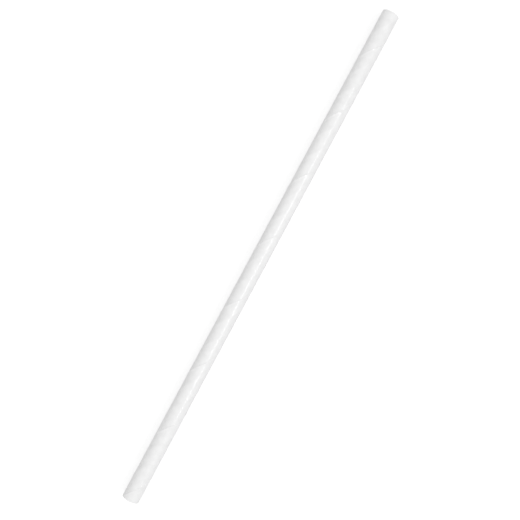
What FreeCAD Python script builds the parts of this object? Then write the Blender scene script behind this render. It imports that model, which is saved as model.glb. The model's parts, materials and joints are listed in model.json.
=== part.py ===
import FreeCAD, Part
import Sketcher
import os

# Paper drinking straw: three paper plies wound in one right-handed helix and glued into a single tube.
#
# The straw is drawn upright, with its mouth end at the top, and its Placement lays it down along X,
# mouth end towards +X. The origin is under the middle of the straw, on the surface that it lies on.
# Where a ply's ribbon laps over itself, the wall stands out a little. The outer ply's lap shows as a
# sharp step that faces the mouth. The two plies below it show through the paper as soft ridges, further
# from the mouth along the same winding. The soft wall is pressed to a narrow flat, about 1 mm wide, along
# the line that the straw lies on.

# Driving dimensions in millimetres: alias, value, meaning
SIZES = (
    ("straw_length", 197.0, "Cut length, end to end"),
    ("outer_diameter", 6.4, "Outside of the wall, between the laps"),
    ("wall_thickness", 0.4, "Three glued plies"),
    ("winding_pitch", 25.3, "Advance of the winding in one turn"),
    ("outer_lap_height", 0.06, "How far the outer ply's lap stands out of the wall"),
    ("outer_lap_width", 1.7, "Outer ply's lap, measured along the straw"),
    ("outer_lap_step", 0.25, "Steep side of the outer ply's lap, along the straw"),
    ("outer_lap_from_mouth", 15.0, "Foot of the outer step on the upper side of the straw, from the mouth"),
    ("soft_lap_height", 0.045, "How far a lower ply's ridge stands out of the wall"),
    ("inner_lap_width", 5.4, "Innermost ply's ridge, along the straw"),
    ("inner_lap_offset", 7.4, "Foot of the outer step to the crest of the innermost ply's ridge"),
    ("middle_lap_width", 4.4, "Middle ply's ridge, along the straw"),
    ("middle_lap_offset", 15.9, "Foot of the outer step to the crest of the middle ply's ridge"),
    ("lap_root", 0.1, "Depth to which a lap is rooted in the wall"),
    ("rest_flat_depth", 0.1, "How far the laps are pressed in along the line that the straw lies on"),
    ("edge_break", 0.05, "Width of the broken edges at both cut ends"),
    ("trim_allowance", 1.0, "Room past the wall that the trimming cuts sweep"),
)

# Radii and heights, worked out from the sheet
WALL_RADIUS = "Sizes.outer_diameter / 2"
BORE_RADIUS = "(Sizes.outer_diameter / 2 - Sizes.wall_thickness)"
OUTER_CREST_RADIUS = "(Sizes.outer_diameter / 2 + Sizes.outer_lap_height)"
SOFT_CREST_RADIUS = "(Sizes.outer_diameter / 2 + Sizes.soft_lap_height)"
HIGHEST_CREST_RADIUS = f"max({OUTER_CREST_RADIUS}; {SOFT_CREST_RADIUS})"
LYING_RADIUS = f"({HIGHEST_CREST_RADIUS} - Sizes.rest_flat_depth)"
ROOT_RADIUS = "(Sizes.outer_diameter / 2 - Sizes.lap_root)"
STEP_HEIGHT = "(Sizes.straw_length - Sizes.outer_lap_from_mouth)"

# The laps are wound from one to two turns below the foot end to at least one turn above the mouth, and
# then cut off flush with the wall's ends
STEP_START = f"({STEP_HEIGHT} - (ceil({STEP_HEIGHT} / Sizes.winding_pitch) + 1) * Sizes.winding_pitch)"
WINDING_HEIGHT = "(Sizes.straw_length + 3 * Sizes.winding_pitch)"

# Points of a sketch element and of the sketch's origin, in the sketcher's numbering
START, END, CENTRE = range(1, 4)
ORIGIN = (-1, 1)

# Turns the upright straw onto its side: its mouth to +X, and the side that the profiles are drawn on up
LAID_DOWN = FreeCAD.Rotation(FreeCAD.Vector(1, 0, 1), 180)

doc = FreeCAD.newDocument("paper_straw")
sheet = doc.addObject("Spreadsheet::Sheet", "Sizes")
for row, (alias, value, meaning) in enumerate(SIZES, start=1):
    sheet.set(f"A{row}", meaning)
    sheet.set(f"B{row}", str(value))
    sheet.setAlias(f"B{row}", alias)
doc.recompute()


def number(expression):
    """What an expression on the sheet comes to now."""
    return float(sheet.evalExpression(expression))


def plane(body, role):
    """One of the body's own origin planes."""
    return next(item for item in body.Origin.OriginFeatures if item.Role == role)


def new_sketch(body, name, role):
    """An empty sketch on one of the body's origin planes."""
    sketch = body.newObject("Sketcher::SketchObject", name)
    sketch.AttachmentSupport = [(plane(body, role), "")]
    sketch.MapMode = "FlatFace"
    return sketch


def bind(sketch, constraint, expression):
    """Add a sketch dimension and tie it to the sheet."""
    index = sketch.addConstraint(constraint)
    sketch.setExpression(f"Constraints[{index}]", expression)


def circle(sketch, radius):
    """A circle about the straw's axis."""
    centre = FreeCAD.Vector(0, 0, 0)
    up = FreeCAD.Vector(0, 0, 1)
    index = sketch.addGeometry(Part.Circle(centre, up, number(radius)), False)
    sketch.addConstraint(Sketcher.Constraint("Coincident", index, CENTRE, *ORIGIN))
    bind(sketch, Sketcher.Constraint("Radius", index, number(radius)), radius)


def place_corner(sketch, element, end, corner):
    """Tie one end of an element to its distance from the axis and its height along the straw."""
    radius, height = corner
    bind(sketch, Sketcher.Constraint("DistanceX", *ORIGIN, element, end, number(radius)), radius)
    bind(sketch, Sketcher.Constraint("DistanceY", *ORIGIN, element, end, number(height)), height)


def outline(body, name, corners, crest=None):
    """A closed outline in the plane through the straw's axis, each corner a radius and a height.

    With a crest, the first side is an arc that rises to that point, and its radius follows the crest.
    """
    sketch = new_sketch(body, name, "XZ_Plane")
    points = [FreeCAD.Vector(number(radius), number(height), 0) for radius, height in corners]
    sides = [Part.LineSegment(*pair) for pair in zip(points, points[1:] + points[:1])]
    first_start, first_end = START, END
    if crest:
        top = FreeCAD.Vector(number(crest["radius"]), number(crest["height"]), 0)
        sides[0] = Part.Arc(points[1], top, points[0])
        first_start, first_end = END, START
    for side in sides:
        sketch.addGeometry(side, False)
    last = len(sides) - 1
    sketch.addConstraint(Sketcher.Constraint("Coincident", 0, first_end, 1, START))
    for index in range(1, last):
        sketch.addConstraint(Sketcher.Constraint("Coincident", index, END, index + 1, START))
    sketch.addConstraint(Sketcher.Constraint("Coincident", last, END, 0, first_start))
    place_corner(sketch, 0, first_start, corners[0])
    for index in range(1, len(corners)):
        place_corner(sketch, index, START, corners[index])
    if crest:
        bend = crest["bend"]
        bind(sketch, Sketcher.Constraint("Radius", 0, number(bend)), bend)
    return sketch


def tube(body):
    """The plain wall: a round tube as long as the straw."""
    sketch = new_sketch(body, "WallSection", "XY_Plane")
    circle(sketch, WALL_RADIUS)
    circle(sketch, BORE_RADIUS)
    doc.recompute()
    pad = body.newObject("PartDesign::Pad", "Wall")
    pad.Profile = sketch
    pad.setExpression("Length", "Sizes.straw_length")
    doc.recompute()


def wind(body, name, profile):
    """Wind a lap's profile round the wall, from below the foot end to above the mouth."""
    doc.recompute()
    helix = body.newObject("PartDesign::AdditiveHelix", name)
    helix.Profile = profile
    helix.ReferenceAxis = (plane(body, "Z_Axis"), [""])
    helix.Mode = "pitch-height-angle"
    helix.LeftHanded = False
    helix.setExpression("Pitch", "Sizes.winding_pitch")
    helix.setExpression("Height", WINDING_HEIGHT)
    doc.recompute()


def outer_lap(body):
    """The outer ply's lap: a steep step that faces the mouth, and a long slope behind it."""
    corners = (
        (WALL_RADIUS, STEP_START),
        (OUTER_CREST_RADIUS, f"{STEP_START} - Sizes.outer_lap_step"),
        (WALL_RADIUS, f"{STEP_START} - Sizes.outer_lap_width"),
        (ROOT_RADIUS, f"{STEP_START} - Sizes.outer_lap_width"),
        (ROOT_RADIUS, STEP_START),
    )
    wind(body, "OuterLap", outline(body, "OuterLapProfile", corners))


def soft_lap(body, name, offset, width):
    """A lower ply's lap, seen through the paper above it as a low rounded ridge."""
    middle = f"{STEP_START} - {offset}"
    upper, lower = f"{middle} + {width} / 2", f"{middle} - {width} / 2"
    corners = (
        (WALL_RADIUS, upper),
        (WALL_RADIUS, lower),
        (ROOT_RADIUS, lower),
        (ROOT_RADIUS, upper),
    )
    crest = {
        "radius": SOFT_CREST_RADIUS,
        "height": middle,
        "bend": f"(({width} / 2) ^ 2 + Sizes.soft_lap_height ^ 2) / (2 * Sizes.soft_lap_height)",
    }
    wind(body, name, outline(body, f"{name}Profile", corners, crest))


def trim(body, name, end, outward):
    """Cut one end square and break its outer and inner edges; outward is + at the mouth, - at the foot."""
    inward = "-" if outward == "+" else "+"
    clear = f"{end} {outward} {WINDING_HEIGHT}"
    room = f"({HIGHEST_CREST_RADIUS} - {WALL_RADIUS} + Sizes.trim_allowance)"
    corners = (
        (f"{BORE_RADIUS} + Sizes.edge_break", end),
        (f"{WALL_RADIUS} - Sizes.edge_break", end),
        (f"{WALL_RADIUS} + {room}", f"{end} {inward} ({room} + Sizes.edge_break)"),
        (f"{WALL_RADIUS} + {room}", clear),
        (f"{BORE_RADIUS} - Sizes.trim_allowance", clear),
        (f"{BORE_RADIUS} - Sizes.trim_allowance",
         f"{end} {inward} (Sizes.trim_allowance + Sizes.edge_break)"),
    )
    sketch = outline(body, f"{name}Profile", corners)
    doc.recompute()
    groove = body.newObject("PartDesign::Groove", name)
    groove.Profile = sketch
    groove.ReferenceAxis = (plane(body, "Z_Axis"), [""])
    groove.Angle = 360
    doc.recompute()


def rest_flat(body):
    """Press a narrow flat along the straw's underside, which is at -X while it is drawn upright."""
    outside = f"-({HIGHEST_CREST_RADIUS} + Sizes.trim_allowance)"
    below, above = "-Sizes.trim_allowance", "(Sizes.straw_length + Sizes.trim_allowance)"
    corners = (
        (f"-{LYING_RADIUS}", below),
        (f"-{LYING_RADIUS}", above),
        (outside, above),
        (outside, below),
    )
    sketch = outline(body, "RestFlatProfile", corners)
    doc.recompute()
    pocket = body.newObject("PartDesign::Pocket", "RestFlat")
    pocket.Profile = sketch
    pocket.Midplane = True
    pocket.setExpression("Length", f"2 * {HIGHEST_CREST_RADIUS}")
    doc.recompute()


def straw():
    """The whole straw, laid down on its side with its mouth towards +X."""
    body = doc.addObject("PartDesign::Body", "Straw")
    body.Label = "paper_straw"
    doc.recompute()
    tube(body)
    outer_lap(body)
    soft_lap(body, "InnerLap", "Sizes.inner_lap_offset", "Sizes.inner_lap_width")
    soft_lap(body, "MiddleLap", "Sizes.middle_lap_offset", "Sizes.middle_lap_width")
    trim(body, "MouthCut", "Sizes.straw_length", "+")
    trim(body, "FootCut", "0", "-")
    rest_flat(body)
    body.Placement = FreeCAD.Placement(FreeCAD.Vector(0, 0, 0), LAID_DOWN)
    body.setExpression(".Placement.Base.x", "-Sizes.straw_length / 2")
    body.setExpression(".Placement.Base.z", LYING_RADIUS)
    return body


def check(parts):
    """Stop on a failed object or a shape that isn't one valid solid."""
    for item in doc.Objects:
        if "Invalid" in item.State or "Error" in item.State:
            raise RuntimeError(f"{item.Name} did not compute: {item.State}")
    for part in parts:
        shape = part.Shape
        if shape.isNull() or not shape.isValid() or len(shape.Solids) != 1:
            raise RuntimeError(f"{part.Label} isn't one valid solid")


parts = [straw()]
doc.recompute()
check(parts)
os.makedirs("parts", exist_ok=True)
for part in parts:
    part.Shape.exportStep(f"parts/{part.Label}.step")
    print(part.Label, "volume", round(part.Shape.Volume, 2), "mm3")
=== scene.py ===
import json
import math

import bmesh
import bpy
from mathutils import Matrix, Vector, noise

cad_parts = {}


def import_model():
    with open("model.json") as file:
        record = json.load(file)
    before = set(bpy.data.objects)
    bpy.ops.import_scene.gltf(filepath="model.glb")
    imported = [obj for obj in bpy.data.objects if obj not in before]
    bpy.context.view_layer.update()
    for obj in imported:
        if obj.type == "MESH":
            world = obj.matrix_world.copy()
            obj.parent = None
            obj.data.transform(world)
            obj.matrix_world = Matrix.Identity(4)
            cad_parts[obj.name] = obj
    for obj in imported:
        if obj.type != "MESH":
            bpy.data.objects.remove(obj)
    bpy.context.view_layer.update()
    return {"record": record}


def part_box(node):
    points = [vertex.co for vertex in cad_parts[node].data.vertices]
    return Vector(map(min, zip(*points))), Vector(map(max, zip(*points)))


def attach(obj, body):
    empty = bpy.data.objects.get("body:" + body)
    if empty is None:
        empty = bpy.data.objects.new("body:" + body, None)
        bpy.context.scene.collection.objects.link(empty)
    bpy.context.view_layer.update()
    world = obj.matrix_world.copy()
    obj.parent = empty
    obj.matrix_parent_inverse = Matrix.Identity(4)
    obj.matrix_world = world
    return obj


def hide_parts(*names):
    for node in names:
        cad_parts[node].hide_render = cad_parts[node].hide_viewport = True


# Spiral-wound paper straw lying on its side along X, its mouth end at +X, seen from straight above.
#
# The wall is a mesh whose rows run along the winding, so that the laps of the paper ribbons are true
# edges. Angles round the straw start at its top and grow towards +Y. Places along it are measured from
# the mouth. One turn of the winding moves any line of the ribbon down the straw by one pitch.

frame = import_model()

MM = 0.001
NODE = "paper_straw"

# Sizes from the frame
MOUNTS = {mount["name"]: mount for mount in frame["record"]["mounts"]}
LOW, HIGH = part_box(NODE)
STRAW_LENGTH = HIGH.x - LOW.x
MOUTH_X = HIGH.x
AXIS_HEIGHT = MOUNTS["bore"]["pos_m"][2]
BORE_RADIUS = MOUNTS["bore"]["dims"]["r_mm"] * MM
CREST_RADIUS = HIGH.z - AXIS_HEIGHT

# The paper between the laps lies a little lower than the CAD wall, so that the outer lap can stand out of
# it by over half a ply and keep its crest inside the CAD model
PRESSED_IN = 0.02 * MM
WALL_RADIUS = MOUNTS["outside"]["dims"]["r_mm"] * MM - PRESSED_IN

# Winding: one pitch is the width of a ribbon along the straw. The foot of the outer ply's step crosses the
# top this far from the mouth, and a place behind that foot is further from the mouth
PITCH = 25.3 * MM
LAP_FROM_MOUTH = 15.2 * MM
LAP_STEP = 0.25 * MM
LAP_WIDTH = 1.4 * MM
LAP_HEIGHT = CREST_RADIUS - WALL_RADIUS

# Ridges of the two lower plies: crest's place behind the foot of the outer step, reach in front of the
# crest and behind it along the straw, height
INNER_RIDGE = 7.1 * MM
MIDDLE_RIDGE = 15.8 * MM
SOFT_RIDGES = (
    (INNER_RIDGE, 1.0 * MM, 1.8 * MM, 0.05 * MM),
    (MIDDLE_RIDGE, 1.0 * MM, 1.8 * MM, 0.05 * MM),
)
CREST_ROUNDING = 0.2 * MM

# How sharply the sides of the laps fall away: 1 would be a straight slope
STEP_BEND = 2
SLOPE_BEND = 3
RIDGE_BEND = 2

# Painted shade and highlight at the laps: the paper is painted a little darker under the outer step and just
# in front of the next one, where shade falls, and paler on the doubled ply behind the step, where it catches
# the light: place behind the foot of the step, and how much paler (+) or darker (-) the paper is painted
# there
PAINTED_LAP_SHADING = (
    (0.0 * MM, -0.028),
    (LAP_STEP, -0.028),
    (0.3 * MM, 0.035),
    (1.2 * MM, 0.0),
    (PITCH - 0.8 * MM, 0.0),
    (PITCH - 0.2 * MM, -0.012),
)
MIDDLE_GREY = 0.5

# Each lap lifts the paper round it in a long low swell, which shades the wall but would hardly move its
# outline, so it is in the bump: place behind the foot of the outer step, and share of the swell's height
SWELL_HEIGHT = 0.05 * MM
SWELL = (
    (0.0 * MM, 0.65),
    (LAP_STEP, 0.65),
    (2.0 * MM, 0.0),
    (INNER_RIDGE - 2.0 * MM, 0.0),
    (INNER_RIDGE, 0.8),
    (INNER_RIDGE + 2.0 * MM, 0.0),
    (MIDDLE_RIDGE - 3.0 * MM, 0.0),
    (MIDDLE_RIDGE, 1.0),
    (MIDDLE_RIDGE + 1.7 * MM, 0.0),
    (PITCH - 1.2 * MM, 0.0),
    (PITCH, 0.65),
)

# Inside the bore the innermost ply's edge stands in a little
BORE_LAP_WIDTH = 1.5 * MM
BORE_LAP_HEIGHT = 0.04 * MM

# Cut ends: three plies with a fine groove between each two
PLIES = 3
EDGE_BREAK = 0.05 * MM
GROOVE_HALF_WIDTH = 0.015 * MM
GROOVE_DEPTH = 0.03 * MM

# Mesh: points in one turn, rows in one pitch, and whole turns wound past each end before it is cut off
COLUMNS = 120
STEP_ROWS = 5
LAP_ROWS = 7
WALL_ROWS = 40
BORE_ROWS = 24
TURNS_PAST_MOUTH = 2
TURNS_PAST_FAR_END = 1
ON_THE_CUT = 1e-8
SHARP_ANGLE = math.radians(30)

# Place of the cut edge's material among the mesh's two
CUT_EDGE = 1

# Unevenness of the paper under the finger
WAVE_HEIGHT = 0.006 * MM
WAVE_LENGTH = 4.0 * MM

# Paper: clouds in the sheet, and fibres stretched along the ribbon. Scales are in noise cells per metre, and
# greys go from the thin places of the sheet to the thick ones
CLOUD_SCALE = 420.0
CLOUD_DETAIL = 4.0
FIBRE_SCALE = (700.0, 4200.0, 1.0)
FIBRE_DETAIL = 3.0
FIBRE_SHARE = 0.4
SHEET_GREYS = ((0.45, 0.86), (0.95, 0.93))
SHEET_ROUGHNESS = (0.36, 0.52)
SHEEN_WEIGHT = 0.45
SHEEN_ROUGHNESS = 0.1
GRAIN_STRENGTH = 0.3
GRAIN_HEIGHT = 0.01 * MM

# Cut edge: bare frayed fibres, matt and a shade darker than the paper
FRAY_SCALE = 9000.0
FRAY_DETAIL = 3.0
FRAY_COLOURS = ((0.35, (0.72, 0.72, 0.71, 1)), (0.65, (0.86, 0.86, 0.85, 1)))
FRAY_STRENGTH = 0.5
FRAY_HEIGHT = 0.02 * MM
CUT_ROUGHNESS = 0.85

# Camera: straight above the straw, which leans in the picture from lower left to upper right, with its
# middle a little right of the picture's and above it
PICTURE_SIZE = 520
PIXELS_PER_MM = 2.791
LEAN = math.radians(28.24)
CAMERA_DISTANCE = 284 * MM
SENSOR_MM = 36.0
MIDDLE_RIGHT_PX = 0.64
MIDDLE_UP_PX = 3.46

# Studio: pale floor, even light from all round, and two soft boxes above the straw. Lamps are in watts and
# metres, and their angles grow from the vertical towards +Y
FLOOR_SIZE = 6.0
FLOOR_COLOUR = (0.5, 0.5, 0.5, 1)
FLOOR_GLOW = 0.64
WORLD_LIGHT = 0.71
WHITE = (1, 1, 1, 1)
LAMP_DISTANCE = 0.6
LAMPS = {
    "key": {"power": 0.88, "from_vertical": math.radians(-33), "length": 0.4, "width": 0.08},
    "top": {"power": 0.25, "from_vertical": math.radians(5), "length": 0.4, "width": 0.5},
}


def node(tree, kind, place, **settings):
    """A shader node at a place in the node editor.

    A keyword names an input, with _ for a space, or numbers it, as i0 does, or is a property of the node.
    An input takes a value or another node's output.
    """
    made = tree.nodes.new(kind)
    made.location = place
    for name, value in settings.items():
        key = int(name[1:]) if name[0] == "i" and name[1:].isdigit() else name.replace("_", " ")
        if isinstance(key, str) and key not in made.inputs:
            setattr(made, name, value)
        elif isinstance(value, bpy.types.NodeSocket):
            tree.links.new(value, made.inputs[key])
        else:
            made.inputs[key].default_value = value
    return made


def ramp(tree, value, stops, place):
    """A colour ramp of a value; each stop is a position and a colour."""
    made = node(tree, "ShaderNodeValToRGB", place, Fac=value)
    elements = made.color_ramp.elements
    while len(elements) < len(stops):
        elements.new(1.0)
    for element, (position, colour) in zip(elements, stops):
        element.position = position
        element.color = colour
    return made.outputs[0]


def grey(level):
    """A grey as a colour."""
    return (level, level, level, 1)


def plain_material(name):
    """A new material, its node tree and the shader in it."""
    material = bpy.data.materials.new(name)
    material.use_nodes = True
    tree = material.node_tree
    return material, tree, tree.nodes["Principled BSDF"]


def add_object(name, data):
    """An object of the scene with this mesh, lamp or camera."""
    made = bpy.data.objects.new(name, data)
    bpy.context.scene.collection.objects.link(made)
    return made


def lap_relief(behind):
    """Height of the outer ply's lap at a distance behind the foot of its step."""
    if behind < LAP_STEP:
        return LAP_HEIGHT * (behind / LAP_STEP) ** STEP_BEND
    if behind < LAP_WIDTH:
        return LAP_HEIGHT * ((LAP_WIDTH - behind) / (LAP_WIDTH - LAP_STEP)) ** SLOPE_BEND
    return 0.0


def soft_relief(behind):
    """Height of the two lower plies' ridges at a distance behind the foot of the outer step."""
    height = 0.0
    for crest, front, back, full in SOFT_RIDGES:
        reach = front if behind < crest else back
        away = math.hypot(behind - crest, CREST_ROUNDING) - CREST_ROUNDING
        height += full * max(1 - away / reach, 0) ** RIDGE_BEND
    return height


def wall_radius(behind):
    """Outside of the wall at a distance behind the foot of the outer step."""
    return WALL_RADIUS + lap_relief(behind) + soft_relief(behind)


def bore_radius(behind):
    """Inside of the wall: the innermost ply's edge, under its own ridge, is a step that faces the mouth."""
    past = behind - INNER_RIDGE
    if 0 <= past < BORE_LAP_WIDTH:
        return BORE_RADIUS - BORE_LAP_HEIGHT * (1 - past / BORE_LAP_WIDTH)
    return BORE_RADIUS


def spread(start, stop, count):
    """Evenly spaced places from start up to, and without, stop."""
    return [start + (stop - start) * k / count for k in range(count)]


def wall_rows():
    """Places of the wall's rows behind the foot of the outer step, close together at the lap."""
    return (
        spread(0, LAP_STEP, STEP_ROWS)
        + spread(LAP_STEP, LAP_WIDTH, LAP_ROWS)
        + spread(LAP_WIDTH, PITCH, WALL_ROWS)
    )


def on_tube(radius, angle, from_mouth):
    """A point of the straw, from its cylinder coordinates. The floor presses the underside flat."""
    return Vector((
        MOUTH_X - from_mouth,
        radius * math.sin(angle),
        max(AXIS_HEIGHT + radius * math.cos(angle), 0),
    ))


def on_ribbon(turned, behind):
    """Where a point lies on the paper ribbon before it is wound: along it, and across it from its edge."""
    girth = 2 * math.pi * WALL_RADIUS
    ribbon_turn = math.hypot(girth, PITCH)
    return Vector((turned * ribbon_turn + behind * PITCH / ribbon_turn, behind * girth / ribbon_turn, 0))


def skin_point(radius, turned, from_mouth, wavy):
    """A point of a skin at a share of a turn. Wavy paper is uneven, and stays below the crests."""
    angle = 2 * math.pi * turned
    point = on_tube(radius, angle, from_mouth)
    if not wavy:
        return point
    wave = noise.noise(point / WAVE_LENGTH) * WAVE_HEIGHT
    return on_tube(min(radius + wave, CREST_RADIUS), angle, from_mouth)


def skin_points(bm, rows, radius_at, wavy):
    """A skin's points by line and column. A line is one turn along the winding, of COLUMNS points."""
    first_turn = math.floor(-LAP_FROM_MOUTH / PITCH) - TURNS_PAST_MOUTH
    last_turn = math.ceil((STRAW_LENGTH - LAP_FROM_MOUTH) / PITCH) + TURNS_PAST_FAR_END
    grid = {}
    for turn in range(first_turn, last_turn):
        for row, behind in enumerate(rows):
            for column in range(COLUMNS):
                turned = column / COLUMNS
                from_mouth = LAP_FROM_MOUTH + behind + PITCH * (turn + turned)
                point = skin_point(radius_at(behind), turned, from_mouth, wavy)
                grid[turn * len(rows) + row, column] = bm.verts.new(point)
    return grid


def face_on_ribbon(rows, line, column):
    """Where the four corners of a face lie on the paper ribbon, in the order of its corners."""
    turn, row = divmod(line, len(rows))
    near = rows[row]
    far = rows[row + 1] if row + 1 < len(rows) else PITCH
    here = turn + column / COLUMNS
    there = turn + (column + 1) / COLUMNS
    return on_ribbon(here, near), on_ribbon(there, near), on_ribbon(there, far), on_ribbon(here, far)


def add_skin(bm, rows, radius_at, wavy):
    """One skin of the tube, longer than the straw, with each row along the winding."""
    grid = skin_points(bm, rows, radius_at, wavy)
    ribbon = bm.loops.layers.float_vector["ribbon"]
    faces = []
    for (line, column), corner in grid.items():
        ahead = (line, column + 1) if column + 1 < COLUMNS else (line + len(rows), 0)
        below = (line + 1, column)
        across = (ahead[0] + 1, ahead[1])
        if not (ahead in grid and below in grid and across in grid):
            continue
        face = bm.faces.new((corner, grid[ahead], grid[across], grid[below]))
        for loop, place in zip(face.loops, face_on_ribbon(rows, line, column)):
            loop[ribbon] = place
        faces.append(face)
    return faces


def cut_skin(bm, faces):
    """Cut a skin off square, an edge break short of both ends."""
    # A dict keeps the order of its keys, so the mesh comes out in the same order each run
    verts = dict.fromkeys(vert for face in faces for vert in face.verts)
    edges = dict.fromkeys(edge for face in faces for edge in face.edges)
    geometry = [*verts, *edges, *faces]
    for side in (1, -1):
        cut = Vector((side * (STRAW_LENGTH / 2 - EDGE_BREAK), 0, AXIS_HEIGHT))
        result = bmesh.ops.bisect_plane(
            bm, geom=geometry, dist=ON_THE_CUT, plane_co=cut, plane_no=(side, 0, 0), clear_outer=True
        )
        geometry = [item for item in result["geom"] if item.is_valid]


def rim(bm, side, inner):
    """The open edges of the outer or the inner skin at one end."""
    limit = (WALL_RADIUS + BORE_RADIUS) / 2
    found = []
    for edge in bm.edges:
        middle = (edge.verts[0].co + edge.verts[1].co) / 2
        radius = math.hypot(middle.y, middle.z - AXIS_HEIGHT)
        if edge.is_boundary and middle.x * side > 0 and (radius < limit) == inner:
            found.append(edge)
    return found


def end_rings():
    """The cut end's rings from outside in, each a radius and a depth from the end.

    The first has no radius of its own: it follows the wall, an edge break further in.
    """
    ply = (WALL_RADIUS - BORE_RADIUS) / PLIES
    rings = [(None, 0.0)]
    for joint in range(PLIES - 1, 0, -1):
        middle = BORE_RADIUS + ply * joint
        rings += [
            (middle + GROOVE_HALF_WIDTH, 0.0),
            (middle, GROOVE_DEPTH),
            (middle - GROOVE_HALF_WIDTH, 0.0),
        ]
    return rings + [(BORE_RADIUS + EDGE_BREAK, 0.0)]


def ring_point(side, point, radius, depth):
    """The point of a ring of the cut end that is next to a point of the last one."""
    across = Vector((0, point.y, point.z - AXIS_HEIGHT))
    size = across.length - EDGE_BREAK if radius is None else radius
    across *= size / across.length
    return Vector((side * (STRAW_LENGTH / 2 - depth), across.y, AXIS_HEIGHT + across.z))


def add_ring(bm, side, edges, radius, depth):
    """Draw a ring of the cut end out of the last one's edges: the new edges, and the faces between."""
    verts = dict.fromkeys(vert for edge in edges for vert in edge.verts)
    drawn = {vert: bm.verts.new(ring_point(side, vert.co, radius, depth)) for vert in verts}
    new_edges = []
    new_faces = []
    for start, end in [edge.verts for edge in edges]:
        new_edges.append(bm.edges.new((drawn[start], drawn[end])))
        new_faces.append(bm.faces.new((start, end, drawn[end], drawn[start])))
    return new_edges, new_faces


def close_end(bm, side):
    """The cut end: broken outer edge, three plies, broken inner edge."""
    inner = rim(bm, side, inner=True)
    edges = rim(bm, side, inner=False)
    faces = []
    for radius, depth in end_rings():
        edges, between = add_ring(bm, side, edges, radius, depth)
        faces += between
    faces += bmesh.ops.bridge_loops(bm, edges=edges + inner)["faces"]
    for face in faces:
        face.material_index = CUT_EDGE


def across_ribbon(tree, ribbon, stops, place):
    """A level that changes across the ribbon: stops are places behind the outer step's foot, and levels."""
    column, row = place
    across = node(tree, "ShaderNodeSeparateXYZ", (column - 400, row), i0=ribbon).outputs["Y"]
    share = node(tree, "ShaderNodeMath", (column - 200, row), operation="DIVIDE", i0=across,
                 i1=on_ribbon(0, PITCH).y)
    return ramp(tree, share.outputs[0], [(behind / PITCH, grey(level)) for behind, level in stops], place)


def lap_painted_shading(tree, ribbon):
    """Painted shade and highlight at the laps. A ramp holds no negative level, so it is offset."""
    # Negative levels are painted shade, positive ones a painted highlight
    levels = [(behind, MIDDLE_GREY + painted_shading) for behind, painted_shading in PAINTED_LAP_SHADING]
    level = across_ribbon(tree, ribbon, levels, (-900, 700))
    painted_shading = node(tree, "ShaderNodeMath", (-600, 700), operation="ADD", i0=level, i1=-MIDDLE_GREY)
    return painted_shading.outputs[0]


def paper_sheet(tree, ribbon):
    """How thick the sheet is: faint clouds, and fibres along the ribbon."""
    clouds = node(tree, "ShaderNodeTexNoise", (-900, 300), Vector=ribbon, Scale=CLOUD_SCALE,
                  Detail=CLOUD_DETAIL)
    stretched = node(tree, "ShaderNodeVectorMath", (-1100, 0), operation="MULTIPLY", i0=ribbon,
                     i1=FIBRE_SCALE)
    fibres = node(tree, "ShaderNodeTexNoise", (-900, 0), Vector=stretched.outputs[0], Scale=1.0,
                  Detail=FIBRE_DETAIL)
    both = node(tree, "ShaderNodeMath", (-700, 150), operation="MULTIPLY_ADD", i0=fibres.outputs[0],
                i1=FIBRE_SHARE, i2=clouds.outputs[0])
    return both.outputs[0]


def paper_colour(tree, ribbon, sheet):
    """Bleached paper: the sheet's own grey, with painted shade and a painted highlight at the laps."""
    greys = [(position, grey(level)) for position, level in SHEET_GREYS]
    colour = node(tree, "ShaderNodeMath", (-300, 300), operation="ADD",
                  i0=ramp(tree, sheet, greys, (-500, 150)), i1=lap_painted_shading(tree, ribbon))
    return colour.outputs[0]


def paper_normal(tree, ribbon, sheet):
    """The sheet's grain, and the swell that each lap makes."""
    grain = node(tree, "ShaderNodeBump", (-300, -300), Height=sheet, Strength=GRAIN_STRENGTH,
                 Distance=GRAIN_HEIGHT)
    height = across_ribbon(tree, ribbon, SWELL, (-600, -500))
    swell = node(tree, "ShaderNodeBump", (-100, -400), Height=height, Strength=1.0, Distance=SWELL_HEIGHT,
                 Normal=grain.outputs[0])
    return swell.outputs[0]


def paper_material():
    """Smooth bleached straw paper with a faint sheen."""
    material, tree, shader = plain_material("straw_paper")
    ribbon = node(tree, "ShaderNodeAttribute", (-1300, 200), attribute_name="ribbon").outputs["Vector"]
    sheet = paper_sheet(tree, ribbon)
    rough_min, rough_max = SHEET_ROUGHNESS
    rough = node(tree, "ShaderNodeMapRange", (-500, -100), Value=sheet, To_Min=rough_min, To_Max=rough_max)
    tree.links.new(paper_colour(tree, ribbon, sheet), shader.inputs["Base Color"])
    tree.links.new(rough.outputs[0], shader.inputs["Roughness"])
    tree.links.new(paper_normal(tree, ribbon, sheet), shader.inputs["Normal"])
    shader.inputs["Coat Weight"].default_value = SHEEN_WEIGHT
    shader.inputs["Coat Roughness"].default_value = SHEEN_ROUGHNESS
    return material


def cut_material():
    """The raw cut edge of the paper: matt, and a shade darker, with the fibres ragged."""
    material, tree, shader = plain_material("cut_paper_edge")
    place = node(tree, "ShaderNodeTexCoord", (-900, 0)).outputs["Object"]
    ragged = node(tree, "ShaderNodeTexNoise", (-700, 0), Vector=place, Scale=FRAY_SCALE, Detail=FRAY_DETAIL)
    bump = node(tree, "ShaderNodeBump", (-300, -200), Height=ragged.outputs[0], Strength=FRAY_STRENGTH,
                Distance=FRAY_HEIGHT)
    tree.links.new(ramp(tree, ragged.outputs[0], FRAY_COLOURS, (-500, 0)), shader.inputs["Base Color"])
    tree.links.new(bump.outputs[0], shader.inputs["Normal"])
    shader.inputs["Roughness"].default_value = CUT_ROUGHNESS
    return material


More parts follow.
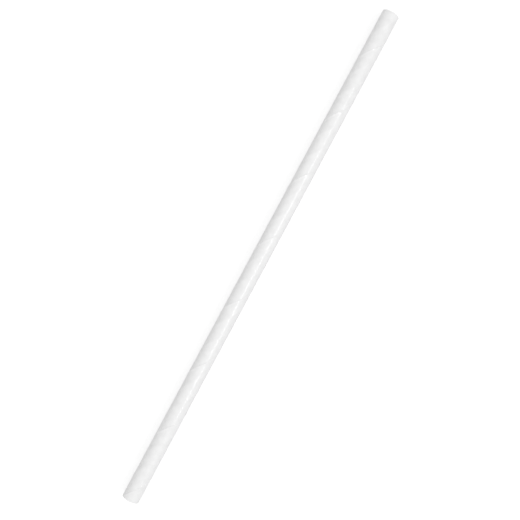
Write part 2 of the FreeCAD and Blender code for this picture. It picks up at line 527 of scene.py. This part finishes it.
def straw_mesh():
    """The wound tube: its outside and its bore, cut off square and closed at both ends."""
    bm = bmesh.new()
    bm.loops.layers.float_vector.new("ribbon")
    cut_skin(bm, add_skin(bm, wall_rows(), wall_radius, wavy=True))
    cut_skin(bm, add_skin(bm, spread(0, PITCH, BORE_ROWS), bore_radius, wavy=False))
    for side in (1, -1):
        close_end(bm, side)
    bmesh.ops.recalc_face_normals(bm, faces=bm.faces)
    mesh = bpy.data.meshes.new("wound_straw")
    bm.to_mesh(mesh)
    bm.free()
    mesh.shade_smooth()
    mesh.set_sharp_from_angle(angle=SHARP_ANGLE)
    return mesh


def straw():
    """The straw, in place of its plain solid."""
    mesh = straw_mesh()
    mesh.materials.append(paper_material())
    mesh.materials.append(cut_material())
    piece = add_object("wound_straw", mesh)
    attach(piece, "root")
    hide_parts(NODE)


def seen_directly(tree):
    """1 for camera, glossy and transmission rays, and 0 for the rays that carry light."""
    path = node(tree, "ShaderNodeLightPath", (-900, 0))
    first = node(tree, "ShaderNodeMath", (-700, 0), operation="MAXIMUM",
                 i0=path.outputs["Is Camera Ray"], i1=path.outputs["Is Glossy Ray"])
    both = node(tree, "ShaderNodeMath", (-500, 0), operation="MAXIMUM",
                i0=first.outputs[0], i1=path.outputs["Is Transmission Ray"])
    return both.outputs[0]


def floor_material():
    """Matt and pale, with a glow that is only seen, so that it looks white in the open."""
    material = bpy.data.materials.new("pale_floor")
    material.use_nodes = True
    tree = material.node_tree
    tree.nodes.clear()
    matt = node(tree, "ShaderNodeBsdfDiffuse", (-200, 200), Color=FLOOR_COLOUR)
    strength = node(tree, "ShaderNodeMath", (-300, 0), operation="MULTIPLY", i0=seen_directly(tree),
                    i1=FLOOR_GLOW)
    glow = node(tree, "ShaderNodeEmission", (-100, 0), Strength=strength.outputs[0])
    total = node(tree, "ShaderNodeAddShader", (100, 100), i0=matt.outputs[0], i1=glow.outputs[0])
    node(tree, "ShaderNodeOutputMaterial", (300, 100), Surface=total.outputs[0])
    return material


def floor():
    """A wide pale floor that keeps the straw's shadow."""
    half = FLOOR_SIZE / 2
    mesh = bpy.data.meshes.new("floor")
    corners = [(-half, -half, 0), (half, -half, 0), (half, half, 0), (-half, half, 0)]
    mesh.from_pydata(corners, [], [(0, 1, 2, 3)])
    mesh.materials.append(floor_material())
    add_object("floor", mesh)


def world():
    """Even studio light from all round, which looks white itself."""
    made = bpy.data.worlds.new("studio")
    bpy.context.scene.world = made
    made.use_nodes = True
    tree = made.node_tree
    tree.nodes.clear()
    strength = node(tree, "ShaderNodeMapRange", (-300, 0), Value=seen_directly(tree), To_Min=WORLD_LIGHT,
                    To_Max=1.0)
    light = node(tree, "ShaderNodeBackground", (-100, 0), Color=WHITE, Strength=strength.outputs[0])
    node(tree, "ShaderNodeOutputWorld", (100, 0), Surface=light.outputs[0])


def lamp(name, power, from_vertical, length, width):
    """A soft box along the straw, aimed at the origin on the floor below it."""
    light = bpy.data.lights.new(name, "AREA")
    light.shape = "RECTANGLE"
    light.size = length
    light.size_y = width
    light.energy = power
    made = add_object(name, light)
    made.location = LAMP_DISTANCE * Vector((0, math.sin(from_vertical), math.cos(from_vertical)))
    made.rotation_euler = (-from_vertical, 0, 0)


def camera():
    """Straight above the straw, turned so that it leans as in the photo."""
    data = bpy.data.cameras.new("camera")
    half_view = PICTURE_SIZE / 2 / PIXELS_PER_MM * MM
    data.sensor_width = SENSOR_MM
    data.lens = SENSOR_MM / 2 * CAMERA_DISTANCE / half_view
    made = add_object("camera", data)
    turned = LEAN - math.pi / 2
    right = Vector((math.cos(turned), math.sin(turned), 0))
    up = Vector((-math.sin(turned), math.cos(turned), 0))
    aside = (right * MIDDLE_RIGHT_PX + up * MIDDLE_UP_PX) / PIXELS_PER_MM * MM
    made.location = Vector((0, 0, AXIS_HEIGHT + CAMERA_DISTANCE)) - aside
    made.rotation_euler = (0, 0, turned)
    bpy.context.scene.camera = made


straw()
floor()
world()
for name, settings in LAMPS.items():
    lamp(name, **settings)
camera()
bpy.context.scene.view_settings.view_transform = "Standard"
